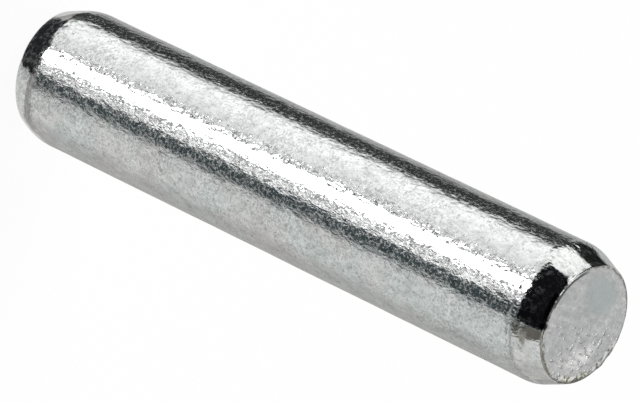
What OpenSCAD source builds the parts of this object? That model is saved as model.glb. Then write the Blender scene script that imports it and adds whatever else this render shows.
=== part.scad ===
// Shelf support pin: a plain round steel pin with a lead-in chamfer at each end.
// One half is pushed into a hole drilled in the side of a cabinet, and the shelf
// lies on the half that stays out. Both ends are alike, so it goes in either way.
// It stands on its lower end: the axis is +Z, and the origin is the centre of
// the lower end face. Lengths are in millimetres and angles in degrees.

/* [Barrel] */
// Diameter of the barrel, the nominal size of the hole that it fits
pin_d = 5; // [3:0.1:12]
// Overall length, from end face to end face
pin_l = 25; // [10:0.5:60]

/* [Ends] */
// Length of the chamfer along the axis
chamfer_l = 1; // [0.6:0.05:2]
// How far the chamfer brings the radius in
chamfer_in = 0.4; // [0.1:0.05:0.6]
// Radius of the shoulder, where the barrel runs into the chamfer
shoulder_r = 1; // [0.1:0.1:1.5]
// Radius of the broken edge around the end face
rim_r = 0.12; // [0.02:0.01:0.2]

/* [Quality] */
// Facets around the pin
round_fn = 128; // [32:8:256]
// Steps along each arc of the outline
arc_steps = 10; // [4:1:24]

/* [Hidden] */

barrel_r = pin_d / 2;
// Half angle of the chamfer's cone, measured from the axis
cone_a = atan(chamfer_in / chamfer_l);
// The arcs start this far from the corners that they round off
shoulder_t = shoulder_r * tan(cone_a / 2);
rim_t = rim_r * tan((90 - cone_a) / 2);
// Radius of the flat end face, and the height at which the barrel starts
face_r = barrel_r - chamfer_in - rim_t;
barrel_z = chamfer_l + shoulder_t;

// Bright zinc plate
zinc = [0.76, 0.78, 0.79];

// Points of an arc around centre [x, y], from angle a0 to angle a1
function arc(centre, r, a0, a1) = [
    for (i = [0 : arc_steps])
        let (a = a0 + (a1 - a0) * i / arc_steps)
            centre + r * [cos(a), sin(a)]
];

// The other end's outline: the same points, turned over in height and order
function turned_over(points) = [
    for (i = [len(points) - 1 : -1 : 0])
        [points[i].x, pin_l - points[i].y]
];

// Outline of the lower end as [radius, height], from the face to the barrel:
// the rim's arc, the straight chamfer between the arcs, and the shoulder's arc
lower_end = concat(
    arc([face_r, rim_r], rim_r, -90, -cone_a),
    arc([barrel_r - shoulder_r, barrel_z], shoulder_r, -cone_a, 0)
);

// Half section of the whole pin, closed along the axis
half_section = concat(
    [[0, 0]],
    lower_end,
    turned_over(lower_end),
    [[0, pin_l]]
);

// The pin, turned from bar in one piece
module pin() {
    color(zinc)
        rotate_extrude($fn = round_fn)
            polygon(half_section);
}

pin();
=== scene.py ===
# %% [markdown]
# # A zinc-plated shelf pin
# A shelf pin is the simplest turned part there is: a round steel bar, cut to length, with a chamfer at
# each end. All of its character is in the plating. Bright zinc mirrors the room, but its fine grain
# breaks the edges of every reflection into sparks and squiggles.
# This lesson models the pin as the lathe makes it, wears it a little, plates it, and lights it in a tent
# of bright and dark cards. The packed model comes first: it gives the true sizes.

# %% Load the packed model
import math

import bmesh
import bpy
from mathutils import Matrix, Vector


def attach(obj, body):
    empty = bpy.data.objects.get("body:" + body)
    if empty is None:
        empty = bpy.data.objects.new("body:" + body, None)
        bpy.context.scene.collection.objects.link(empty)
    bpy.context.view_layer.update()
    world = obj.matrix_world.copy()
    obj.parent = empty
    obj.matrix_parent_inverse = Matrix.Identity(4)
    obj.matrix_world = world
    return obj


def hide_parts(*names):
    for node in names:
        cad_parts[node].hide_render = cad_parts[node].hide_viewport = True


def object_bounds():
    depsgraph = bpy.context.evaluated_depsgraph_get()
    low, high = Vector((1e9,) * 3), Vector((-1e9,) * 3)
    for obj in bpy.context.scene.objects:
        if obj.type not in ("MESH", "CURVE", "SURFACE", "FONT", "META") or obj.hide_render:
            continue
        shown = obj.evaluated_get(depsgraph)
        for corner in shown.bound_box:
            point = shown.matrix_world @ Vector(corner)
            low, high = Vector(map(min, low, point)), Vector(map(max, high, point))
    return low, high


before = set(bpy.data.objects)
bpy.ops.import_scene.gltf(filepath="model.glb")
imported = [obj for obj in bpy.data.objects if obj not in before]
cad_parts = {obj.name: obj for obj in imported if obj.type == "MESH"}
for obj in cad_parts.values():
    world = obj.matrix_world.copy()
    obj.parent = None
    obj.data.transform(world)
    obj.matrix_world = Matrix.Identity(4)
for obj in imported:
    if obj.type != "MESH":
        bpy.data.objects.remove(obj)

MM = 0.001
cad_low, cad_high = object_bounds()
print("packed box, mm:", [round(v / MM, 3) for v in (*cad_low, *cad_high)])

# %% [markdown]
# ## Sizes
# The bar's radius and length are read from the packed box, so that the dressed pin is as large as the pin
# that it stands for. The packed bar has fine flat facets, which leave its box a hair narrower one way than
# the other, and the smaller half width keeps the dressed pin inside the box. The small sizes of the ends
# are a turner's: a long shallow chamfer that leads into the hole, a rounded shoulder behind it, and a rim
# whose sharp edge is just broken.

# %% Sizes of the pin
bar_radius = min(cad_high.x, cad_high.y)
pin_length = cad_high.z - cad_low.z
chamfer_length = 1.0 * MM
chamfer_inward = 0.4 * MM
shoulder_radius = 1.0 * MM
rim_radius = 0.12 * MM

cone_angle = math.atan2(chamfer_inward, chamfer_length)
end_radius = bar_radius - chamfer_inward
shoulder_reach = shoulder_radius * math.tan(cone_angle / 2)
rim_reach = rim_radius * math.tan((math.pi / 2 - cone_angle) / 2)
print(f"bar {2 * bar_radius / MM:.2f} x {pin_length / MM:.1f} mm, cone angle {math.degrees(cone_angle):.1f}")

# %% [markdown]
# ## Camera
# A small part is photographed from far away through a long lens, which keeps its sides nearly parallel.
# The camera looks down at the standing pin, and it is rolled about its own line of sight, so that the
# pin lies across the picture from the upper left to the lower right.
# A camera looks along its own -Z, so `to_track_quat("-Z", "Y")` aims it, and one more turn rolls it.

# %% Aim the camera
# The lens is in millimetres, for a sensor 36 mm wide.
LENS = 405.5
CAMERA_DISTANCE = 242.4 * MM
CAMERA_ELEVATION = math.radians(37.26)
CAMERA_ROLL = math.radians(115.83)
CAMERA_SIDEWAYS = -0.00054
camera_aim = Vector((0.13 * MM, 0, 12.985 * MM))

camera_side = Vector((CAMERA_SIDEWAYS, -math.cos(CAMERA_ELEVATION), math.sin(CAMERA_ELEVATION)))
camera_data = bpy.data.cameras.new("camera")
camera_data.lens = LENS
camera_data.clip_start = 10 * MM
camera_data.clip_end = 5.0
camera = bpy.data.objects.new("camera", camera_data)
bpy.context.scene.collection.objects.link(camera)
camera.location = camera_aim + camera_side * CAMERA_DISTANCE
aimed = (-camera_side).to_track_quat("-Z", "Y").to_matrix()
camera.rotation_euler = (aimed @ Matrix.Rotation(CAMERA_ROLL, 3, "Z")).to_euler()
bpy.context.scene.camera = camera
print("camera at, mm:", [round(v / MM, 1) for v in camera.location])

# %% [markdown]
# ## Shader maths as plain Python
# Node trees are easier to read as formulas. `Signal` wraps one socket: sums, differences, products and
# powers of signals add Math nodes, and `add` makes any other node from its settings and its inputs.
# A mask is a signal that is one where something shows and zero elsewhere. `ramp` and `between` make masks,
# and `blend` lays one colour over another by a mask.

# %% A small class for node trees
# A Mix node lists the sockets of every kind of value it can mix. These are its sockets for colours.
MIX_FACTOR, MIX_FIRST, MIX_SECOND, MIX_RESULT = 0, 6, 7, 2


class Signal:
    """One output socket of a node tree, or just the tree, with nothing chosen yet."""

    def __init__(self, tree, socket=None):
        self.tree = tree
        self.socket = socket

    def add(self, kind, settings=None, inputs=None, output=0):
        """Add a node: first its settings, then the values or links of its sockets."""
        node = self.tree.nodes.new(kind)
        for name, value in (settings or {}).items():
            setattr(node, name, value)
        for name, value in (inputs or {}).items():
            self.feed(node.inputs[name], value)
        return Signal(self.tree, node.outputs[output] if len(node.outputs) else None)

    def feed(self, socket, value):
        """Link a signal to an input, or set the input's own value."""
        if isinstance(value, Signal):
            self.tree.links.new(value.socket, socket)
        else:
            socket.default_value = value

    def sibling(self, output):
        """Another output of the same node."""
        return Signal(self.tree, self.socket.node.outputs[output])

    def split(self):
        """The three numbers of this vector."""
        first = self.add("ShaderNodeSeparateXYZ", None, {"Vector": self})
        return first, first.sibling(1), first.sibling(2)

    def maths(self, operation, first, second=0.0):
        """Add a Math node."""
        return self.add("ShaderNodeMath", {"operation": operation}, {0: first, 1: second})

    def __add__(self, other):
        return self.maths("ADD", self, other)

    def __radd__(self, other):
        return self.maths("ADD", other, self)

    def __sub__(self, other):
        return self.maths("SUBTRACT", self, other)

    def __rsub__(self, other):
        return self.maths("SUBTRACT", other, self)

    def __mul__(self, other):
        return self.maths("MULTIPLY", self, other)

    def __rmul__(self, other):
        return self.maths("MULTIPLY", other, self)

    def __pow__(self, other):
        return self.maths("POWER", self, other)

    def ramp(self, low, high, start=0.0, end=1.0):
        """Go smoothly from start to end while this signal goes from low to high."""
        settings = {"interpolation_type": "SMOOTHSTEP"}
        inputs = {"Value": self, "From Min": low, "From Max": high, "To Min": start, "To Max": end}
        return self.add("ShaderNodeMapRange", settings, inputs)

    def between(self, start, end):
        """One between two edges and zero outside them; each edge is a place and its softness."""
        rise = self.ramp(start[0] - start[1] / 2, start[0] + start[1] / 2)
        fall = self.ramp(end[0] - end[1] / 2, end[0] + end[1] / 2, 1.0, 0.0)
        return rise * fall

    def blend(self, first, second):
        """Mix two colours by this signal: it is the share of the second one."""
        inputs = {MIX_FACTOR: self, MIX_FIRST: first, MIX_SECOND: second}
        return self.add("ShaderNodeMix", {"data_type": "RGBA"}, inputs, MIX_RESULT)


def blank_tree(owner):
    """Empty the node tree of a world or a material, and hand it out as a Signal."""
    owner.use_nodes = True
    owner.node_tree.nodes.clear()
    return Signal(owner.node_tree)


print("a Signal knows:", ", ".join(name for name in vars(Signal) if not name.startswith("_")))

# %% [markdown]
# ## The light tent
# Polished metal has hardly a look of its own: it shows what stands around it. A round bar turns the room
# into stripes, so each stripe on the pin is one card in the tent, and placing the cards is most of the
# work. Real cards could be hung as planes, but it is quicker to draw the tent straight into the world, by
# direction: a pale wall all round, then cards laid over it, each with its own stretch of azimuth and
# elevation, soft edges and brightness.
# Azimuth 0 is the side where the camera stands, and it grows towards +X. The bar shows a card at half of
# the card's azimuth. It mirrors what lies about 37 degrees below the horizon, the lower chamfer looks
# further down, the upper one straight out, and the end face mirrors what is high up behind the pin.

# %% The cards
# Each card has a left, right, low and high edge, in degrees with the softness of that edge, and a colour.
# Later cards lie over earlier ones.
CARDS = {
    # Beside the pin, towards -X: a wall with a dark doorway, then the window that is the broad bright stripe.
    "side wall": ((-182, 1), (-146, 22), (-91, 1), (91, 1), (0.52, 0.525, 0.515)),
    "doorway jamb": ((-158, 8), (-130, 8), (-91, 1), (20, 10), (0.42, 0.425, 0.42)),
    "lit jamb": ((-158, 8), (-134, 8), (-26, 6), (20, 10), (0.56, 0.565, 0.56)),
    "dark doorway": ((-139, 12), (-80, 10), (-91, 1), (-2, 8), (0.039, 0.043, 0.043)),
    "lintel of the doorway": ((-139, 12), (-80, 10), (-26, 5), (-2, 8), (0.014, 0.016, 0.015)),
    "window": ((-97, 20), (-24, 4), (-57, 5), (8, 8), (1.19, 1.205, 1.20)),
    "upper window": ((-102.5, 9), (-55, 10), (-25, 4), (14, 8), (1.13, 1.14, 1.135)),
    "dim end of the window": ((-58, 40), (-25, 4), (-57, 5), (8, 8), (0.89, 0.90, 0.905)),
    # In front: the hairlines and the black stripe down the middle of the bar.
    "window frame": ((-35, 3), (-23.5, 2), (-91, 1), (-6, 4), (0.08, 0.08, 0.085)),
    "sill of the window": ((-33, 1), (-29.5, 1), (-57, 5), (-8, 4), (1.0, 1.0, 1.0)),
    "strip lamp": ((-24, 2), (-5, 2), (-56, 5), (-7, 4), (5.0, 5.0, 5.0)),
    "black flag": ((-2, 1), (41.5, 18), (-60, 6), (-7, 4), (0.044, 0.060, 0.064)),
    "lip of the lamp": ((-5, 1), (16, 14), (-60, 6), (-7, 4), (0.42, 0.42, 0.425)),
    "edge of the lip": ((7, 4), (13, 4), (-56, 5), (-12, 4), (1.4, 1.4, 1.4)),
    # In front, at the height of the camera: the dark patch of the upper chamfer.
    "camera and its shadow": ((-59, 5), (42, 4), (-8, 6), (62, 6), (0.006, 0.006, 0.008)),
    "camera bag": ((42, 4), (57, 3), (-20, 8), (16, 6), (0.13, 0.12, 0.105)),
    # Beside the pin, towards +X: the grey side of the bar, of its upper shoulder and of the chamfer.
    "far wall": ((142, 20), (181, 1), (-57, 8), (20, 10), (0.445, 0.445, 0.435)),
    "seam of the wall": ((46, 8), (165, 10), (-30, 6), (-17, 5), (0.42, 0.42, 0.415)),
    "lit wall": ((110, 10), (150, 10), (-19, 4), (6, 4), (0.55, 0.55, 0.535)),
    # Below the pin: the lower shoulder and the lower chamfer.
    "paper, right": ((30, 8), (181, 1), (-92, 1), (-50, 6), (0.67, 0.69, 0.685)),
    "paper, left": ((-181, 1), (-140, 12), (-92, 1), (-43, 6), (0.68, 0.68, 0.665)),
    "paper, far right": ((146, 8), (181, 1), (-92, 1), (-41, 4), (0.72, 0.72, 0.715)),
    "lower seam": ((20, 6), (134, 10), (-52, 3), (-43, 3), (0.36, 0.36, 0.355)),
    "under the tent": ((-128, 6), (27, 8), (-92, 1), (-47.5, 3), (0.02, 0.021, 0.023)),
    "deep under the tent": ((20, 6), (43, 8), (-92, 1), (-71, 5), (0.02, 0.021, 0.023)),
    "doorstep": ((-136, 8), (-106, 10), (-58, 3), (-50, 3), (0.40, 0.39, 0.38)),
    # High at both sides: the broken edge around the end face.
    "beside the window": ((-139, 8), (-104, 5), (-3, 5), (58, 8), (0.03, 0.03, 0.03)),
    "skylight": ((-104, 5), (-62, 6), (6, 6), (48, 6), (1.1, 1.11, 1.105)),
    "ceiling lamp": ((-95, 16), (-60, 8), (38, 4), (58, 4), (2.4, 2.4, 2.4)),
    "ceiling in shade": ((44, 6), (75, 20), (32, 4), (62, 4), (0.12, 0.115, 0.105)),
    "shelf in shade": ((48, 8), (158, 10), (6, 5), (56, 8), (0.32, 0.31, 0.28)),
    # High up behind the pin: the end face, and the sparks that its lumps catch.
    "back wall, right": ((150, 8), (181, 1), (24, 6), (58, 3), (0.70, 0.70, 0.695)),
    "back wall, left": ((-181, 1), (-150, 8), (24, 6), (58, 3), (0.70, 0.70, 0.695)),
    "dark ceiling": ((-181, 1), (181, 1), (62, 5), (91, 1), (0.04, 0.04, 0.045)),
    "roof light": ((-181, 1), (181, 1), (77, 5), (91, 1), (0.50, 0.505, 0.50)),
    "back lamp, right": ((140, 6), (170, 4), (57, 3), (72, 6), (2.2, 2.2, 2.2)),
    "back lamp, middle right": ((170, 3), (181, 1), (58, 3), (74, 6), (3.6, 3.6, 3.6)),
    "back lamp, middle left": ((-181, 1), (-170, 3), (58, 3), (74, 6), (3.6, 3.6, 3.6)),
    "back lamp, left": ((-163, 4), (-140, 6), (57, 3), (68, 4), (3.4, 3.4, 3.4)),
    # Low down behind the pin: the far edge of the end face.
    "dark skirting, right": ((158, 8), (181, 1), (-24, 6), (6, 6), (0.07, 0.07, 0.065)),
    "dark skirting, left": ((-181, 1), (-162, 6), (-24, 6), (6, 6), (0.07, 0.07, 0.065)),
}
print(len(CARDS), "cards, the brightest", max(max(card[-1]) for card in CARDS.values()))

# %% [markdown]
# ## The tent in the world
# The world's shader knows one thing, the direction of a ray, and its azimuth and elevation follow from it.
# Light Path's Is Camera Ray paints the backdrop white for the camera alone. Reflections still meet the
# cards, and they have to: in an all-white room a polished pin is white all over.

# %% Draw the tent into the world
TO_DEGREES = 180 / math.pi
# The pale wall all round gets darker between these two azimuths, on the +X side.
WALL_NEAR = (0.69, 0.705, 0.70, 1.0)
WALL_FAR = (0.470, 0.468, 0.461, 1.0)
WALL_CHANGES = (84, 126)
BACKDROP = (0.985, 0.985, 0.985, 1.0)

world = bpy.data.worlds.new("light tent")
bpy.context.scene.world = world
tent = blank_tree(world)
east, north, rise = tent.add("ShaderNodeTexCoord", output="Generated").split()
azimuth = tent.maths("ARCTAN2", east, 0 - north) * TO_DEGREES
elevation = tent.maths("ARCSINE", rise) * TO_DEGREES

light = azimuth.ramp(*WALL_CHANGES).blend(WALL_NEAR, WALL_FAR)
for left, right, bottom, top, card_colour in CARDS.values():
    card = azimuth.between(left, right) * elevation.between(bottom, top)
    light = card.blend(light, (*card_colour, 1.0))

camera_ray = tent.add("ShaderNodeLightPath", output="Is Camera Ray")
background = tent.add("ShaderNodeBackground", None, {"Color": camera_ray.blend(light, BACKDROP)})
tent.add("ShaderNodeOutputWorld", None, {"Surface": background})
print("light tent with", len(world.node_tree.nodes), "nodes")

# %% [markdown]
# ## Floor
# The pin stands on a sheet of white paper that runs out of sight. Most of the paper's white is its own
# glow, set just under full white, and a small share is lit by the tent, which leaves a faint shadow where
# the pin stands. Reflections pass through the sheet and meet the tent's cards instead.

# %% Lay the paper
WHITE = (1, 1, 1, 1)
PAPER_COLOUR = (0.9, 0.9, 0.9, 1)
PAPER_GLOW = 1.104
LIT_SHARE = 0.16
FLOOR_SIZE = 3.0

bpy.ops.object.select_all(action="DESELECT")
bpy.ops.mesh.primitive_plane_add(size=FLOOR_SIZE, location=(0, 0, 0))
floor = bpy.context.object
floor.name = "paper_floor"
paper = bpy.data.materials.new("white paper")
sheet = blank_tree(paper)
glow = sheet.add("ShaderNodeEmission", None, {"Color": WHITE, "Strength": PAPER_GLOW})
matt = sheet.add("ShaderNodeBsdfDiffuse", None, {"Color": PAPER_COLOUR})
glow_and_matt = sheet.add("ShaderNodeMixShader", None, {0: LIT_SHARE, 1: glow, 2: matt})
sheet.add("ShaderNodeOutputMaterial", None, {"Surface": glow_and_matt})
floor.data.materials.append(paper)
floor.visible_glossy = False
floor.visible_shadow = False
print("paper floor,", FLOOR_SIZE, "m wide")

# %% [markdown]
# ## The bar
# The pin starts as the lathe's does, as a plain round bar. The bar is one cylinder with many sides, so
# that the fine wear that comes later has vertices to move.
# `pick` is used all through the modelling: it selects the faces or edges whose middle passes a test.

# %% Cut the bar
# Places closer together than NEAR count as the same.
SIDES = 288
NEAR = 0.001 * MM
bar_length = pin_length - 2 * chamfer_length
bar_middle = Vector((0, 0, pin_length / 2))


def pick(kind, test):
    """Select the faces or edges of the mesh in edit mode whose middle passes the test."""
    bpy.ops.mesh.select_mode(type=kind)
    bpy.ops.mesh.select_all(action="DESELECT")
    mesh = bmesh.from_edit_mesh(bpy.context.object.data)
    for part in mesh.faces if kind == "FACE" else mesh.edges:
        place = sum((v.co for v in part.verts), Vector()) / len(part.verts)
        if test(part, place):
            part.select_set(True)
    mesh.select_flush_mode()
    bmesh.update_edit_mesh(bpy.context.object.data)


bpy.ops.object.select_all(action="DESELECT")
bpy.ops.mesh.primitive_cylinder_add(vertices=SIDES, radius=bar_radius, depth=bar_length, location=bar_middle)
pin = bpy.context.object
pin.name = "zinc_pin"
bpy.ops.object.transform_apply(location=True, rotation=True, scale=True)
bpy.ops.object.mode_set(mode="EDIT")
print("bar with", SIDES, "sides,", round(bar_length / MM, 1), "mm long")

# %% [markdown]
# ## Chamfers
# The tool leans in and turns a shallow cone at each end. The same is done here by extruding the end cap
# along the axis and shrinking it.

# %% Turn the chamfers
# A face looks along the bar if its normal reaches this far along it, of 1 in all.
FACES_THE_END = 0.9


def end_cap(outward):
    """A test for the one large face that closes the upper end (1) or the lower end (-1)."""
    return lambda face, place: len(face.verts) > 4 and face.normal.z * outward > FACES_THE_END


for end, outward in ((0.0, -1), (pin_length, 1)):
    pick("FACE", end_cap(outward))
    bpy.ops.mesh.extrude_region_move(TRANSFORM_OT_translate={"value": (0, 0, outward * chamfer_length)})
    shrink = end_radius / bar_radius
    bpy.ops.transform.resize(value=(shrink, shrink, 1), center_override=(0, 0, end))
print("chamfers", chamfer_length / MM, "mm long, down to", round(end_radius / MM, 3), "mm radius")

# %% [markdown]
# ## Shoulders
# Tumbling rounds the shoulder where the cone meets the bar. A bevel of the two rings of edges does it. Its
# width is the tangent length of the arc, so that the bevel has the true radius.

# %% Round the shoulders
SHOULDER_STEPS = 6


def on_shoulder(edge, place):
    """A test for the edges of the two rings where the cones meet the bar."""
    level = abs(edge.verts[0].co.z - edge.verts[1].co.z) < NEAR
    return level and min(abs(place.z - chamfer_length), abs(place.z - pin_length + chamfer_length)) < NEAR


pick("EDGE", on_shoulder)
bpy.ops.mesh.bevel(
    offset_type="OFFSET", offset=shoulder_reach, segments=SHOULDER_STEPS, profile=0.5, affect="EDGES")
print("shoulder radius", shoulder_radius / MM, "mm")

# %% [markdown]
# ## Cuts and rims
# The upper end is cut square, but the lower one was sheared askew, as pins often are. `bisect` cuts the mesh
# with a plane, throws away what lies outside it and fills the cut. The sharp rim is broken by a row of
# insets that follow an arc: each one makes the end face smaller and pushes it a little further out.

# %% Part off the ends and break the rims
RIM_STEPS = 5
CUT_RISE = 0.40 * MM
CUT_HIGH_SIDE = math.radians(64)
MERGE_DISTANCE = 1e-7


def cut_end(middle_height, outward, slope, high_side):
    """Cut the bar with a plane that rises towards one side, and round the rim up to the plane."""
    rising = Vector((math.sin(high_side), -math.cos(high_side), 0)) * slope
    cut_normal = (Vector((0, 0, 1)) - rising) * outward
    rim_height = rim_reach * math.cos(cone_angle)
    bpy.ops.mesh.select_all(action="SELECT")
    bpy.ops.mesh.bisect(
        plane_co=(0, 0, middle_height - outward * (rim_height + NEAR)), plane_no=cut_normal,
        use_fill=True, clear_outer=True, threshold=MERGE_DISTANCE)
    pick("FACE", end_cap(outward))
    bends = [cone_angle + (math.pi / 2 - cone_angle) * k / RIM_STEPS for k in range(RIM_STEPS + 1)]
    for bend, next_bend in zip(bends, bends[1:]):
        bpy.ops.mesh.inset(
            thickness=rim_radius * (math.cos(bend) - math.cos(next_bend)),
            depth=rim_radius * (math.sin(next_bend) - math.sin(bend)))


cut_end(CUT_RISE / 2, -1, CUT_RISE / (2 * end_radius), CUT_HIGH_SIDE)
cut_end(pin_length, 1, 0.0, 0.0)
print("rim radius", rim_radius / MM, "mm, lower end rises", CUT_RISE / MM, "mm across the cut")

# %% [markdown]
# ## An even mesh
# Wear needs vertices everywhere, not only around the edges. Subdividing the edges that run along the bar
# and the cones cuts their long faces into rows. One call makes at most 100 cuts, so the bar is first cut
# into a few lengths, and then each length into rows.

# %% Cut the bar and the cones into rows
# Each step: the shortest and the longest edge that it cuts, in millimetres, and into how many pieces.
ROW_STEPS = {"bar": (5, 30, 5), "lengths of the bar": (2, 5, 50), "cones": (0.2, 2, 12)}


def cut_long_edges(shortest, longest, pieces):
    """Cut across the sloping or upright edges whose length is in the range."""
    def is_long(edge, place):
        rises = abs(edge.verts[0].co.z - edge.verts[1].co.z) > NEAR
        return rises and shortest < edge.calc_length() < longest
    pick("EDGE", is_long)
    bpy.ops.mesh.subdivide(number_cuts=pieces - 1)


for step, (shortest, longest, pieces) in ROW_STEPS.items():
    cut_long_edges(shortest * MM, longest * MM, pieces)
    print(step, "cut into", pieces)

# %% [markdown]
# ## The end faces
# Each end is still one face with very many corners. It is swapped for a grid of small squares, because a
# grid has no pole in the middle, so that the face shades evenly and can be dented anywhere.

# %% Swap the end caps for grids
for outward in (-1, 1):
    pick("FACE", end_cap(outward))
    bpy.ops.mesh.delete(type="ONLY_FACE")
    pick("EDGE", lambda edge, place: len(edge.link_faces) == 1)
    bpy.ops.mesh.fill_grid(span=SIDES // 4, use_interp_simple=True)

bpy.ops.mesh.select_all(action="SELECT")
bpy.ops.mesh.normals_make_consistent(inside=False)
pin.update_from_editmode()
triangles = sum(len(p.vertices) - 2 for p in pin.data.polygons)
print("pin mesh:", len(pin.data.vertices), "vertices,", triangles, "triangles")

# %% [markdown]
# ## Dents and burr
# Loose pins knock against each other in the box, which dents the end face, and the saw left a burr that
# leans out over its edge. Both are pushed one by one: one vertex is moved, and proportional editing takes
# its neighbours along, less and less with their distance.

# %% Push in the dents and push out the burr
# Each push: its place from the middle of the upper end, its reach, and the way it goes, in millimetres.
DENTS = (
    ((0.80, 0.80, 0), 0.30, (0, 0, -0.018)),
    ((1.05, 0.45, 0), 0.35, (0, 0, -0.024)),
    ((1.30, 0.15, 0), 0.30, (0, 0, -0.020)),
    ((-0.35, -0.90, 0), 0.40, (0, 0, -0.012)),
)
BURR = (
    ((0.95, 1.87, -0.07), 0.32, (0.022, 0.044, 0)),
    ((0.45, 2.05, -0.07), 0.36, (0.012, 0.055, 0)),
    ((0.00, 2.10, -0.07), 0.30, (0, 0.030, 0)),
)
upper_end = Vector((0, 0, pin_length))


def push(where, reach, way):
    """Move the vertex that is nearest to a place, and softly all that is within reach of it."""
    bpy.ops.mesh.select_mode(type="VERT")
    bpy.ops.mesh.select_all(action="DESELECT")
    mesh = bmesh.from_edit_mesh(pin.data)
    nearest = min(mesh.verts, key=lambda v: (v.co - where).length)
    nearest.select_set(True)
    mesh.select_flush_mode()
    bmesh.update_edit_mesh(pin.data)
    bpy.ops.transform.translate(
        value=way, use_proportional_edit=True, proportional_edit_falloff="SMOOTH",
        proportional_size=reach)


for where, reach, way in DENTS + BURR:
    push(upper_end + Vector(where) * MM, reach * MM, Vector(way) * MM)
bpy.ops.object.mode_set(mode="OBJECT")
print(len(DENTS), "dents and", len(BURR), "pushes for the burr")

# %% [markdown]
# ## Waves
# Drawn wire is never quite even, the turning tool chatters on the cones, and a parted face is lumpy. The
# Displace modifier moves the surface by a cloud pattern, and a vertex group says how much of it each
# vertex takes. Its middle level is 1, so that it only ever moves the surface inwards, and the pin stays
# inside its box.

# %% Let the surface wander
# How far inside the rim the lumps of an end face stop.
LUMPS_INSET = 0.1 * MM


def sink(name, size, depth, weight):
    """Sink the surface by clouds of a size, to a depth, both in millimetres, where the weight says so."""
    group = pin.vertex_groups.new(name=name)
    for vertex in pin.data.vertices:
        amount = weight(vertex.co)
        if amount > 0:
            group.add([vertex.index], amount, "REPLACE")
    clouds = bpy.data.textures.new(name, "CLOUDS")
    clouds.noise_scale = size * MM
    clouds.noise_depth = 2
    displace = pin.modifiers.new(name, "DISPLACE")
    displace.texture = clouds
    displace.texture_coords = "LOCAL"
    displace.vertex_group = name
    displace.strength = depth * MM
    displace.mid_level = 1.0
    bpy.ops.object.modifier_apply(modifier=name)
    print(name, "up to", depth, "mm deep")


def fade(value, start, end):
    """Go straight from 0 to 1 while a value goes from start to end, and stay there beyond them."""
    return max(0.0, min(1.0, (value - start) / (end - start)))


def everywhere(place):
    """One on the whole pin."""
    return 1.0


def on_cones(place):
    """One on the chamfers, fading out over the first tenths of a millimetre of the bar."""
    to_end = min(place.z, pin_length - place.z) / MM
    return fade(to_end, 1.3, 0.9)


def on_ends(place):
    """One on the flat of the two ends."""
    return 1.0 if math.hypot(place.x, place.y) < end_radius - LUMPS_INSET else 0.0


sink("drawn waves", 2.2, 0.026, everywhere)
sink("turned waves", 0.45, 0.012, on_cones)
sink("parted face", 0.9, 0.024, on_ends)

# %% [markdown]
# ## Worn edges
# Three edges of this pin are not as the lathe left them. The burr is crumbly, the saw rolled the edge of
# the upper face over on the other side, and the lower shoulder was worn down by sliding in the box. Each
# is sunk in the same way, with a weight that picks its stretch of the edge by its distance from the axis
# and its turn about it. The turn is 0 on the camera's side and grows towards +X.

# %% Wear the edges
BURR_HEIGHT = 0.15 * MM
WORN_HALF_WIDTH = 0.46


def around(place):
    """How far out from the axis a place is, in millimetres, and its turn about it, in degrees."""
    return math.hypot(place.x, place.y) / MM, math.degrees(math.atan2(place.x, -place.y))


def at_burr(place):
    """One on the upper rim, on the side where the burr was left."""
    if place.z < pin_length - BURR_HEIGHT:
        return 0.0
    out, angle = around(place)
    return fade(out, 1.78, 1.93) * min(fade(angle, 85, 100), fade(angle, 178, 168))


def at_rolled_rim(place):
    """One at the very edge of the upper face, on the side where the saw rolled it over."""
    if place.z < pin_length - rim_radius:
        return 0.0
    out, angle = around(place)
    rolled = 0.55 * fade(out, 1.86, 1.97) + 0.45 * fade(out, 1.97, 2.03)
    return rolled * min(fade(angle, -80, -65), fade(angle, -1, -6))


def at_lower_shoulder(place):
    """A soft hump over the lower shoulder, one in its middle."""
    off = fade(abs(place.z - chamfer_length) / MM, 0, WORN_HALF_WIDTH)
    return (1 - off * off) ** 2


sink("burr", 0.10, 0.014, at_burr)
sink("rolled rim", 2.5, 0.060, at_rolled_rim)
sink("worn shoulder", 3.0, 0.034, at_lower_shoulder)
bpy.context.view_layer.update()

# %% [markdown]
# ## Plating: where is what
# Zinc comes from a bath and covers the whole pin, but it looks different on the drawn bar, the turned
# cones and the parted end faces. So the material starts with masks for them.
# They are made from Object coordinates, which are fixed to the pin: the pattern stays where it is from
# every side. Here they are in millimetres, with the pin's axis along `up`.

# %% Find the way on the pin
# In millimetres: the height of the upper end, the radius of its rim and the radius of its flat.
TO_MM = 1 / MM
TOP = pin_length / MM
RIM = end_radius / MM
FACE_EDGE = RIM - 0.11

zinc = bpy.data.materials.new("bright zinc plate")
plate = blank_tree(zinc)
object_place = plate.add("ShaderNodeTexCoord", output="Object")


def stretched(x, y, z):
    """Object coordinates in millimetres, each axis scaled; a small scale draws the pattern out."""
    scale = (TO_MM * x, TO_MM * y, TO_MM * z)
    return plate.add("ShaderNodeMapping", None, {"Vector": object_place, "Scale": scale})


def tell(step):
    """Print how large the plating's node tree has grown."""
    print(f"{step}: {len(zinc.node_tree.nodes)} nodes in the plating so far")


point = stretched(1, 1, 1)
drawn = stretched(1, 1, 0.6)
across, away, up = point.split()
radius = (across * across + away * away) ** 0.5
turn = plate.maths("ARCTAN2", across, 0 - away) * TO_DEGREES
on_bar = up.between((1.4, 0.3), (TOP - 0.9, 0.3))
on_face = radius.ramp(RIM - 0.075, RIM - 0.025, 1.0, 0.0)
tell("bearings")

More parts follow.
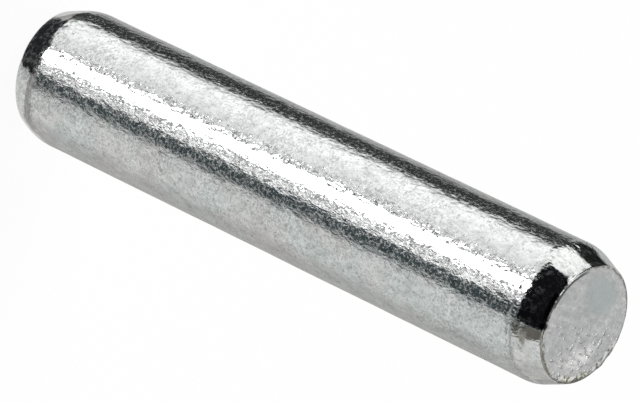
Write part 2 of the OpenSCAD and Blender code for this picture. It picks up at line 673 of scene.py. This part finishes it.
# %% [markdown]
# ## The colour of zinc
# Bright zinc is a pale metal, a little cool, with warm clouds where its seal is thicker. A metal's Base
# Color tints its reflections, so small steps of colour are enough. Noise textures of several sizes break
# it up: large clouds, a mottle that reaches from white to grey, and blotches drawn out along the bar. The
# end face is duller, with streaks from the saw.

# %% Colour the zinc
COOL_ZINC = (0.80, 0.85, 0.835, 1)
WARM_ZINC = (0.86, 0.84, 0.83, 1)
EVEN_ZINC = (0.845, 0.855, 0.846, 1)
FACE_DULL = (0.565, 0.58, 0.575, 1)
FACE_PALE = (0.695, 0.705, 0.70, 1)
MOTTLE_GREY = (0.40, 0.41, 0.41, 1)
BLOTCH_GREY = (0.42, 0.43, 0.43, 1)


def noise(where, scale, detail, roughness):
    """Noise with features about 1 / scale of a millimetre across."""
    inputs = {"Vector": where, "Scale": scale, "Detail": detail, "Roughness": roughness}
    return plate.add("ShaderNodeTexNoise", None, inputs)


clouded = noise(point, 0.45, 2.0, 0.6).ramp(0.35, 0.65).blend(COOL_ZINC, WARM_ZINC)
bar_colour = turn.ramp(8, 24).blend(EVEN_ZINC, clouded)
warm_cone = up.ramp(TOP - 1.1, TOP - 0.9) * turn.ramp(14, 40) * 0.6
bar_colour = warm_cone.blend(bar_colour, WARM_ZINC)
streaks = noise(stretched(1.3, 0.4, 1), 5.0, 2.0, 0.6)
face_colour = streaks.ramp(0.3, 0.7).blend(FACE_DULL, FACE_PALE)
colour = on_face.blend(bar_colour, face_colour)
mottle = noise(point, 1.3, 5.0, 1.0)
colour = mottle.ramp(0.5, 0.72).blend(colour, WHITE)
colour = mottle.ramp(0.25, 0.5, 1.0, 0.0).blend(colour, MOTTLE_GREY)
blotches = noise(drawn, 3.6, 1.0, 0.5).ramp(0.34, 0.66)
colour = (blotches * 0.25).blend(colour, BLOTCH_GREY)
tell("zinc colour")

# %% [markdown]
# ## The end face
# Sawing leaves the face uneven: one part is smooth and bluish. Over the dents, a streaky spot is painted
# white as painted highlight, beside the glints that the dents catch themselves. A squared distance from a
# middle is enough for a round zone, and noise added to it frays its edge. The spot is longer than it is
# wide, so it is measured along and beside its own direction.

# %% Finish the end face
BLUED_ZINC = (0.50, 0.57, 0.565, 1)
SMOOTH_MIDDLE = (-1.1, 0.15)
SMOOTH_SQUASH = (1.6, 0.9)
# A spot painted white over the dents of the end face: painted highlight.
SPOT_MIDDLE = (1.08, 0.55)
SPOT_DIRECTION = (0.652, -0.758)


def off_middle(middle, squash=(1.0, 1.0)):
    """Squared distance from a place on the face, in square millimetres, squashed along each axis."""
    return (across - middle[0]) ** 2.0 * squash[0] + (away - middle[1]) ** 2.0 * squash[1]


wander = noise(point, 1.1, 2.0, 0.5) * 0.16 - 0.08
smooth_zone = (off_middle(SMOOTH_MIDDLE, SMOOTH_SQUASH) + wander * 5).ramp(0.0, 1.15, 1.0, 0.0) * on_face
colour = (smooth_zone * 0.75).blend(colour, BLUED_ZINC)

spot_across = across - SPOT_MIDDLE[0]
spot_away = away - SPOT_MIDDLE[1]
along_spot = spot_across * SPOT_DIRECTION[0] + spot_away * SPOT_DIRECTION[1]
beside_spot = spot_away * SPOT_DIRECTION[0] - spot_across * SPOT_DIRECTION[1]
# Painted highlight: a streaky white spot over the dents, which also catch real glints of their own.
painted_highlight_spot = along_spot.between((-0.65, 0.5), (0.65, 0.5)) * beside_spot.between((-0.28, 0.4), (0.25, 0.3))
colour = (painted_highlight_spot * on_face * streaks.ramp(0.35, 0.6)).blend(colour, WHITE)
tell("end face")

# %% [markdown]
# ## The burr
# The burr is a thin torn edge. The seal pools in it and dries yellowish, and the tears show as white and
# dark flecks. Its mask takes the same stretch of the rim as the burr in the mesh.

# %% Tint the burr
BRASSY_ZINC = (0.62, 0.60, 0.40, 1)
TORN_DARK = (0.08, 0.08, 0.055, 1)

burr_side = turn.between((85, 15), (178, 10)) * radius.ramp(RIM - 0.375, RIM - 0.195)
burr_side = burr_side * up.ramp(TOP - 0.2, TOP - 0.1)
yellowed = burr_side * turn.between((90, 10), (130, 30)) * noise(point, 4.0, 2.0, 0.6).ramp(0.45, 0.55)
colour = (yellowed * 0.8).blend(colour, BRASSY_ZINC)
tears = noise(point, 6.0, 3.0, 0.7)
colour = (burr_side * tears.ramp(0.50, 0.56)).blend(colour, WHITE)
colour = (burr_side * tears.ramp(0.40, 0.47, 0.9, 0.0)).blend(colour, TORN_DARK)
tell("burr")

# %% [markdown]
# ## Stains and painted shade
# Up close, bright zinc is finely wrinkled. The sine of a noise gives closed winding lines, like the lines
# of a map, and their dark side is painted shade, since the bump has no wrinkles. Small specks are stained,
# and a wobbly line around the end face and one nick in its edge are painted shade. All take one dark
# colour, so the strongest of the masks counts, and not their sum.

# %% Stain the specks, and paint shade on the wrinkles and the rim
# One dark colour for the real stains of the specks and for painted shade.
STAIN_AND_SHADE = (0.24, 0.235, 0.21, 1)
WRINKLE_WAVES = 62
# The middle of a nick in the upper rim, painted dark as painted shade, in millimetres.
NICK_SHADE_MIDDLE = (0.62, -1.96)


def strongest(first, *others):
    """The largest of some masks, point by point."""
    for mask in others:
        first = plate.maths("MAXIMUM", first, mask)
    return first


patches = noise(point, 0.55, 3.0, 0.6).ramp(0.44, 0.60)
# Painted shade: the dark side of the wrinkles; the wrinkles are not in the bump.
wrinkle_shading = plate.maths("SINE", noise(point, 1.6, 3.0, 0.55) * WRINKLE_WAVES)
wrinkle_shading = wrinkle_shading * (0.3 + 0.7 * patches) * (1 - 0.85 * on_face)
specks = noise(point, 7.0, 1.0, 0.5).ramp(0.62, 0.72) * (1 - 0.75 * on_face)
# Painted shade: a wobbly dark line around the edge of the end face.
wobbly_radius = radius + wander + (noise(point, 5.0, 2.0, 0.6) - 0.5) * 0.12
rim_shade_line = wobbly_radius.between((FACE_EDGE, 0.03), (RIM - 0.035, 0.03))
rim_shade_line = rim_shade_line * noise(point, 3.5, 2.0, 0.6).ramp(0.38, 0.48)
# Painted shade: a small dark dot for the nick in the upper rim.
nick_shade = off_middle(NICK_SHADE_MIDDLE).ramp(0.004, 0.02, 1.0, 0.0) * up.ramp(TOP - 0.3, TOP - 0.2)
colour = strongest(wrinkle_shading * 0.27, specks * 0.45, rim_shade_line * 0.8, nick_shade * 0.95).blend(colour, STAIN_AND_SHADE)
tell("stains")

# %% [markdown]
# ## Painted shade
# Near-black paint stands in for shade: on the dark stripe of the bar near both ends, in the nick, along
# the rolled edge and on the broken edge beside it. It is laid over the stains. The other side of the
# wrinkles comes last: their crests are painted pale, as painted highlight.

# %% Paint in the shade
# This near-black is painted shade on the ends and edges of the pin.
SHADE_BLACK = (0.02, 0.02, 0.02, 1)
# A pale colour for the crests of the wrinkles: painted highlight.
CREST_HIGHLIGHT = (0.98, 0.99, 0.985, 1)

# Painted shade: the dark stripe along the bar is darkened near both ends.
near_the_ends = up.ramp(TOP - 3.0, TOP - 1.4) + up.ramp(1.6, 3.4, 1.0, 0.0)
end_stripe_shade = turn.between((5, 5), (20, 6)) * near_the_ends * (1 - on_face)
# Painted shade: a dark line just inside the rim, where the saw rolled the edge.
rolled_edge_shade = radius.between((RIM - 0.195, 0.04), (FACE_EDGE, 0.03)) * turn.between((-54, 14), (-1, 3))
rolled_edge_shade = rolled_edge_shade * up.ramp(TOP - 0.3, TOP - 0.2)
# Painted shade: dark patches on the broken edge of the upper face, on the camera's side.
broken_edge_shade = radius.between((FACE_EDGE, 0.03), (RIM + 0.105, 0.05)) * turn.between((-38, 6), (20, 6))
broken_edge_shade = broken_edge_shade * noise(point, 2.6, 2.0, 0.6).ramp(0.44, 0.50) * up.ramp(TOP - 0.2, TOP - 0.15)
# All of this near-black is painted shade.
dirt = strongest(end_stripe_shade * 0.28, nick_shade * 0.9, rolled_edge_shade * 0.8, broken_edge_shade * 0.85)
colour = dirt.blend(colour, SHADE_BLACK)
# Painted highlight: the crests of the wrinkles are made pale.
crest_highlight = (0 - wrinkle_shading).ramp(0.0, 1.0, 0.0, 0.5)
colour = crest_highlight.blend(colour, CREST_HIGHLIGHT)
tell("dirt")

# %% [markdown]
# ## Gloss
# The turned cones are the glossiest, the drawn bar is a little duller, and fine specks of the grain are
# duller still, which makes the bar sparkle. A thin milky film lies on the cones in places. It isn't metal,
# so it takes a few hundredths off Metallic.

# %% Set the gloss
dull_specks = noise(point, 9.5, 2.0, 0.6).ramp(0.44, 0.66)
roughness = 0.055 + 0.035 * on_bar + dull_specks * (0.07 + 0.18 * on_bar) + on_face * 0.06
film = noise(stretched(1, 1, 0.8), 5.0, 3.0, 0.65).ramp(0.48, 0.62) * (1 - on_bar) * (1 - on_face)
film = film * up.ramp(TOP - 0.7, TOP - 0.35, 1.0, 0.12)
metallic = 1 - film * 0.06
tell("gloss")

# %% [markdown]
# ## Grain
# The plating's crystals are a few hundredths of a millimetre high, far too fine for the mesh, but they
# tip the reflections and make their edges crawl. A Bump node does that: it turns a height into normals.
# The bar has a grain with shallow dimples, both drawn out lengthwise. The upper shoulder is ragged, the
# cones have a few pits, and the end face has saw lines, streaks and crumbs.

# %% Raise the grain of the bar
# Heights and depths are in millimetres.
GRAIN_HEIGHT = 0.0195
DIMPLE_DEPTH = 0.0034
PIT_DEPTH = 0.007
RAGGED_HEIGHT = 0.030

grain = noise(drawn, 5.0, turn.ramp(-8, 2, 1.1, 2.2), 0.58)
cells = plate.add("ShaderNodeTexVoronoi", None, {"Vector": drawn, "Scale": 7.0, "Randomness": 0.85})
chance = cells.sibling("Color")
dimples = cells.ramp(0.05, 0.27, 1.0, 0.0) * plate.maths("GREATER_THAN", chance, 0.4)
pits = cells.ramp(0.02, 0.30, 1.0, 0.0) * plate.maths("GREATER_THAN", chance, 0.88)
ragged = noise(drawn, 3.4, 2.0, 0.6) * up.between((TOP - 1.25, 0.2), (TOP - 0.7, 0.3))
bar_height = grain * GRAIN_HEIGHT * (0.3 + 0.7 * on_bar) - dimples * DIMPLE_DEPTH * on_bar
bar_height = bar_height + ragged * RAGGED_HEIGHT - pits * PIT_DEPTH * (1 - on_bar)
tell("bar grain")

# %% Raise the marks of the end face
SAW_HEIGHT = 0.006
STREAK_HEIGHT = 0.005
CRUMB_HEIGHT = 0.0125

saw_lines = noise(stretched(0.45, 1, 1), 3.0, 2.0, 0.6)
rough_side = (across + 0.25 * away).ramp(-0.6, 0.5) * (1 - smooth_zone)
crumbs = noise(stretched(1.1, 0.8, 1), 5.6, 1.5, 0.5).ramp(0.58, 0.72)
face_height = saw_lines * SAW_HEIGHT + streaks * STREAK_HEIGHT * rough_side
face_height = face_height + crumbs * (rough_side + burr_side) * CRUMB_HEIGHT
height = (bar_height * (1 - on_face) + face_height * on_face) * MM
facing = plate.add("ShaderNodeBump", None, {"Height": height, "Distance": 1.0, "Strength": 1.0})
tell("face marks")

# %% [markdown]
# ## Plate the pin
# All of it meets in one Principled shader, which is a mirror as Metallic is nearly 1. Smooth shading hides
# the small faces of the mesh, and the rims stay crisp, because their rounding is real.

# %% Put the plating on the pin
surface = plate.add("ShaderNodeBsdfPrincipled", None, {
    "Base Color": colour, "Metallic": metallic, "Roughness": roughness, "Normal": facing})
plate.add("ShaderNodeOutputMaterial", None, {"Surface": surface})
pin.data.materials.append(zinc)
bpy.ops.object.select_all(action="DESELECT")
pin.select_set(True)
bpy.context.view_layer.objects.active = pin
bpy.ops.object.shade_smooth()
tell("plated")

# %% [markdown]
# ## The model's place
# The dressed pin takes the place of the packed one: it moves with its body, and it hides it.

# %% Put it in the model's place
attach(pin, "root")
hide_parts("pin")
print(pin.name, "rides on root and replaces pin")

# %% [markdown]
# ## Finish
# The Standard view shows each colour as it is written. Denoising is off, because it would smear the grain
# of the plating, which is as fine as the noise.

# %% Finish
bpy.context.scene.view_settings.view_transform = "Standard"
bpy.context.scene.cycles.use_denoising = False
